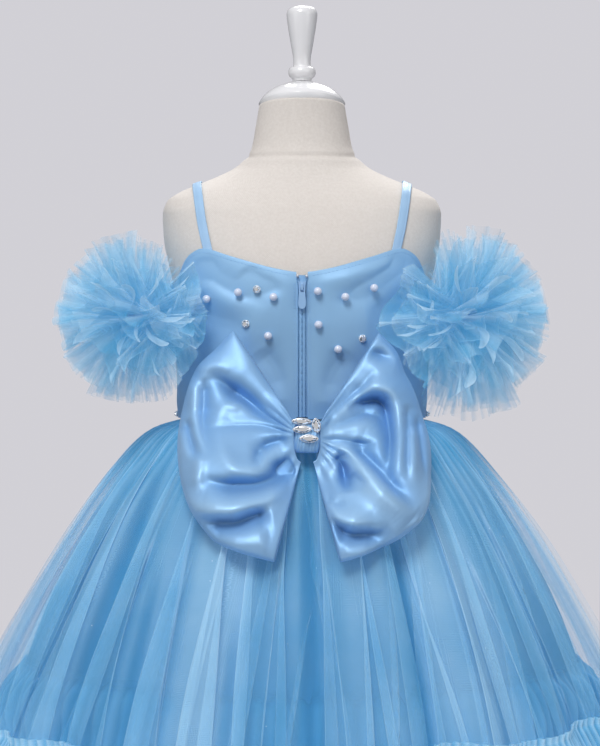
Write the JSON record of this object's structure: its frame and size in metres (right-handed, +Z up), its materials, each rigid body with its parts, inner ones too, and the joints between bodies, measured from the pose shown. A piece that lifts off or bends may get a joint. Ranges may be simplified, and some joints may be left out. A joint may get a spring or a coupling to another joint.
{
  "type": "child ball gown on a dress form",
  "caption": "Child's ball gown with a zipped satin bodice, ruffled off-shoulder sleeves, a large back bow and a full net skirt, on a limbless dress form.",
  "frame": {"origin": "centre of the stand's underside, on the floor", "axes": "+Z up the pole, -Y out of the gown's back, +X to the right seen from behind"},
  "size_m": [0.6453, 0.6034, 0.8168],
  "materials": {
    "satin": "soft sheen",
    "tulle": "sheer net",
    "lining": "matte",
    "zip": "matte",
    "zip_metal": "painted",
    "silver": "bright stones in settings",
    "linen": "plain weave",
    "white": "gloss"
  },
  "bodies": {
    "gown_and_form": {"bodice_back_left": "satin", "bodice_back_right": "satin", "bodice_front": "satin", "bow_knot": "satin", "bow_loop_left": "satin", "bow_loop_right": "satin", "bow_stone_lower": "silver", "bow_stone_middle": "silver", "bow_stone_side": "silver", "bow_stone_upper": "silver", "form_cap": "white", "form_finial": "white", "form_torso": "linen", "frill_back_left": "tulle", "frill_back_right": "tulle", "frill_front": "tulle", "hem_ruffle_back": "tulle", "hem_ruffle_front": "tulle", "lining_back": "lining", "lining_front": "lining", "skirt_back_left": "tulle", "skirt_back_right": "tulle", "skirt_front": "tulle", "sleeve_band_left": "satin", "sleeve_band_right": "satin", "sleeve_bottom_left": "tulle", "sleeve_bottom_right": "tulle", "sleeve_high_left": "tulle", "sleeve_high_right": "tulle", "sleeve_low_left": "tulle", "sleeve_low_right": "tulle", "sleeve_lower_left": "tulle", "sleeve_lower_right": "tulle", "sleeve_top_left": "tulle", "sleeve_top_right": "tulle", "sleeve_upper_left": "tulle", "sleeve_upper_right": "tulle", "stand_base": "white", "stand_pole": "white", "strap_left": "satin", "strap_right": "satin", "waist_trim": "silver", "zip_slider": "zip_metal", "zip_tape": "zip"},
    "zip_tab": {"zip_pull_tab": "zip_metal"}
  },
  "joints": [
    {"name": "zip_tab_hinge", "type": "hinge", "parent": "gown_and_form", "child": "zip_tab", "pos_m": [0, -0.09103, 0.571], "axis": [-1, 0, 0], "range_deg": [0, 160]}
  ]
}
